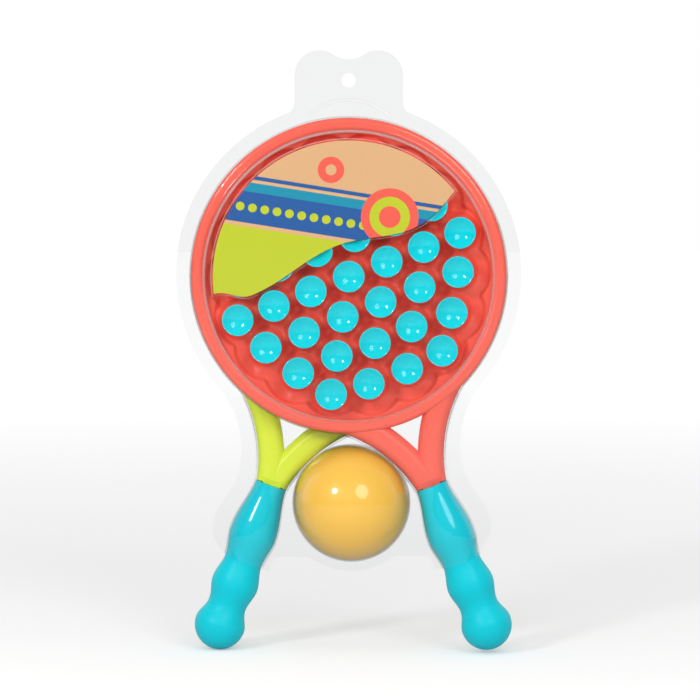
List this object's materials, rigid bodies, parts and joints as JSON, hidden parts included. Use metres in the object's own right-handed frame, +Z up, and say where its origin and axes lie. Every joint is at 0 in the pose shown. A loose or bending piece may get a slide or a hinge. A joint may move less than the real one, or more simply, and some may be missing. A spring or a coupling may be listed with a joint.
{
  "type": "paddle ball game",
  "caption": "Round paddles faced with suction cups and a hollow ball, held in a clear two-shell blister with a hang tab and a printed insert card.",
  "frame": {"origin": "middle of the hang hole, on the parting plane of the two blister shells", "axes": "+Z up, +X to the right of someone facing the card, -Y towards that person"},
  "size_m": [0.224, 0.0768, 0.3913],
  "materials": {
    "clear_blister": "clear thermoformed sheet, polished",
    "printed_card": "brown paperboard with a flat print",
    "amber_ball": "glossy soft vinyl, slightly see-through",
    "coral_frame": "moulded, satin gloss",
    "coral_sheet": "moulded, satin",
    "teal_cups": "moulded, glossy",
    "teal_grip": "moulded, satin",
    "lime_frame": "moulded, satin gloss",
    "lime_sheet": "moulded, satin"
  },
  "bodies": {
    "rear_shell": {"rear_shell_flange": "clear_blister", "rear_shell_drum": "clear_blister", "rear_shell_wall": "clear_blister", "rear_shell_window": "clear_blister", "rear_shell_dome": "clear_blister", "rear_shell_own_cover": "clear_blister", "rear_shell_other_cover": "clear_blister"},
    "front_shell": {"front_shell_flange": "clear_blister", "front_shell_drum": "clear_blister", "front_shell_wall": "clear_blister", "front_shell_window": "clear_blister", "front_shell_pocket": "clear_blister", "front_shell_dome": "clear_blister", "front_shell_own_cover": "clear_blister", "front_shell_other_cover": "clear_blister"},
    "card": {"insert_card": "printed_card"},
    "play_ball": {"ball": "amber_ball", "ball_plug": "amber_ball"},
    "front_paddle": {"front_frame_face": "coral_frame", "front_frame_back": "coral_frame", "front_sheet": "coral_sheet", "front_grip": "teal_grip"},
    "front_cups": {"front_cups_row_1": "teal_cups", "front_cups_row_2": "teal_cups", "front_cups_row_3": "teal_cups", "front_cups_row_4": "teal_cups", "front_cups_row_5": "teal_cups", "front_cups_row_6": "teal_cups", "front_cups_row_7": "teal_cups"},
    "rear_paddle": {"rear_frame_face": "lime_frame", "rear_frame_back": "lime_frame", "rear_sheet": "lime_sheet", "rear_grip": "teal_grip"},
    "rear_cups": {"rear_cups_row_1": "teal_cups", "rear_cups_row_2": "teal_cups", "rear_cups_row_3": "teal_cups", "rear_cups_row_4": "teal_cups", "rear_cups_row_5": "teal_cups", "rear_cups_row_6": "teal_cups", "rear_cups_row_7": "teal_cups"}
  },
  "joints": [
    {"name": "front_shell_pull", "type": "slide", "parent": "rear_shell", "child": "front_shell", "axis": [0, -1, 0], "range_m": [0, 0.2]},
    {"name": "card_pull", "type": "slide", "parent": "rear_shell", "child": "card", "axis": [0, -1, 0], "range_m": [0, 0.15]},
    {"name": "front_paddle_lift", "type": "slide", "parent": "rear_shell", "child": "front_paddle", "axis": [0, -1, 0], "range_m": [0, 0.11]},
    {"name": "ball_lift", "type": "slide", "parent": "rear_shell", "child": "play_ball", "axis": [0, -1, 0], "range_m": [0, 0.09]},
    {"name": "rear_paddle_lift", "type": "slide", "parent": "rear_shell", "child": "rear_paddle", "axis": [0, -1, 0], "range_m": [0, 0.06]},
    {"name": "front_cups_press", "type": "slide", "parent": "front_paddle", "child": "front_cups", "axis": [0, 1, 0], "range_m": [0, 0.0025], "stiffness_N_per_m": 400, "deforming": ["front_sheet"]},
    {"name": "rear_cups_press", "type": "slide", "parent": "rear_paddle", "child": "rear_cups", "axis": [0, -1, 0], "range_m": [0, 0.0025], "stiffness_N_per_m": 400, "deforming": ["rear_sheet"]}
  ],
  "couplings": [
    {"joint": "card_pull", "follows": "front_shell_pull", "ratio": 0.75},
    {"joint": "front_paddle_lift", "follows": "front_shell_pull", "ratio": 0.55},
    {"joint": "ball_lift", "follows": "front_shell_pull", "ratio": 0.45},
    {"joint": "rear_paddle_lift", "follows": "front_shell_pull", "ratio": 0.3}
  ]
}
